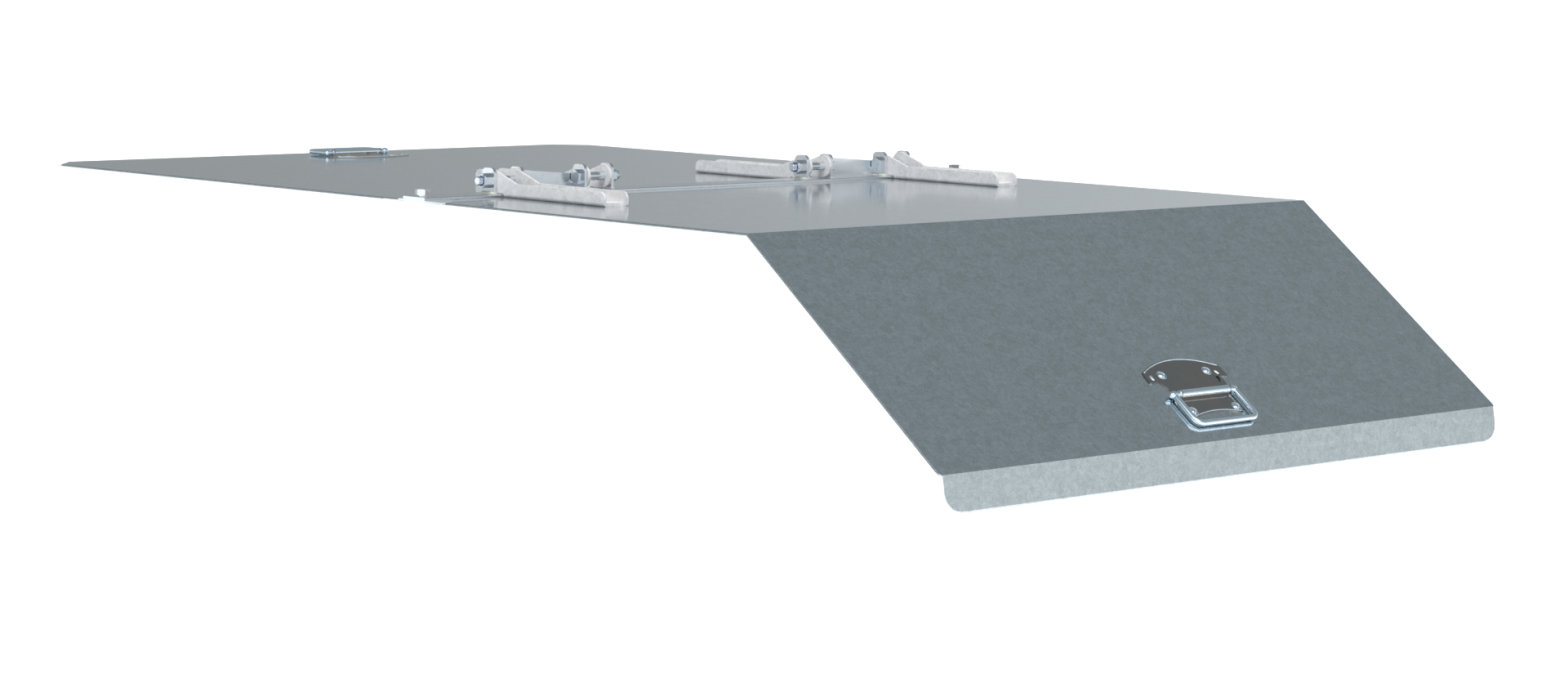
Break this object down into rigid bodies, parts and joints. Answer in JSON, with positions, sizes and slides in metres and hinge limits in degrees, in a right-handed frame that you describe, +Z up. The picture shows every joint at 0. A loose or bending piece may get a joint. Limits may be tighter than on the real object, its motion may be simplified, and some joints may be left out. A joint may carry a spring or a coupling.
{
  "type": "folding box lid",
  "caption": "Two-leaf folding sheet-steel lid for a truck-borne box: flat rear leaf and sloped front leaf on strap hinges, each with a drop handle",
  "frame": {"origin": "middle of the underside of the fixed cross strip, which is bolted down across the box opening", "axes": "+X across the lid, +Y from the cross strip towards the rear leaf's edge, +Z up; both leaves closed"},
  "size_m": [1.07, 2.0261, 0.349],
  "materials": {
    "galvanised_sheet": "galvanised sheet, fine spangle, satin",
    "galvanised_strap": "dull hot-dip galvanised",
    "galvanised_bar": "smooth galvanised, semi-bright",
    "zinc_plated_steel": "bright zinc plated",
    "bright_zinc_handle": "bright blue-passivated zinc, pressed",
    "blue_nylon": "moulded nylon"
  },
  "bodies": {
    "centre": {"cross_strip": "galvanised_bar", "corner_gussets": "galvanised_sheet", "left_hinge_lugs": "galvanised_bar", "right_hinge_lugs": "galvanised_bar", "left_hinge_web": "galvanised_bar", "right_hinge_web": "galvanised_bar", "pivot_bolts": "zinc_plated_steel", "pivot_lock_nuts": "zinc_plated_steel", "nut_nylon_rings": "blue_nylon", "fixing_bolts": "zinc_plated_steel"},
    "front_leaf": {"front_sheet": "galvanised_sheet", "front_left_strap": "galvanised_strap", "front_right_strap": "galvanised_strap", "front_strap_rivets": "galvanised_strap", "front_handle_plate": "bright_zinc_handle", "front_handle_rivets": "bright_zinc_handle"},
    "rear_leaf": {"rear_sheet": "galvanised_sheet", "rear_left_strap": "galvanised_strap", "rear_right_strap": "galvanised_strap", "rear_strap_rivets": "galvanised_strap", "rear_handle_plate": "bright_zinc_handle", "rear_handle_rivets": "bright_zinc_handle"},
    "front_bail": {"front_bail": "bright_zinc_handle"},
    "rear_bail": {"rear_bail": "bright_zinc_handle"}
  },
  "joints": [
    {"name": "front_leaf_hinge", "type": "hinge", "parent": "centre", "child": "front_leaf", "pos_m": [0, 0, 0.026], "axis": [-1, 0, 0], "range_deg": [0, 180]},
    {"name": "rear_leaf_hinge", "type": "hinge", "parent": "centre", "child": "rear_leaf", "pos_m": [0, 0, 0.026], "axis": [1, 0, 0], "range_deg": [0, 180]},
    {"name": "front_bail_hinge", "type": "hinge", "parent": "front_leaf", "child": "front_bail", "pos_m": [0, -0.97793, -0.20447], "axis": [-1, 0, 0], "range_deg": [0, 90]},
    {"name": "rear_bail_hinge", "type": "hinge", "parent": "rear_leaf", "child": "rear_bail", "pos_m": [0, 0.887, 0.0096], "axis": [1, 0, 0], "range_deg": [0, 90]}
  ]
}
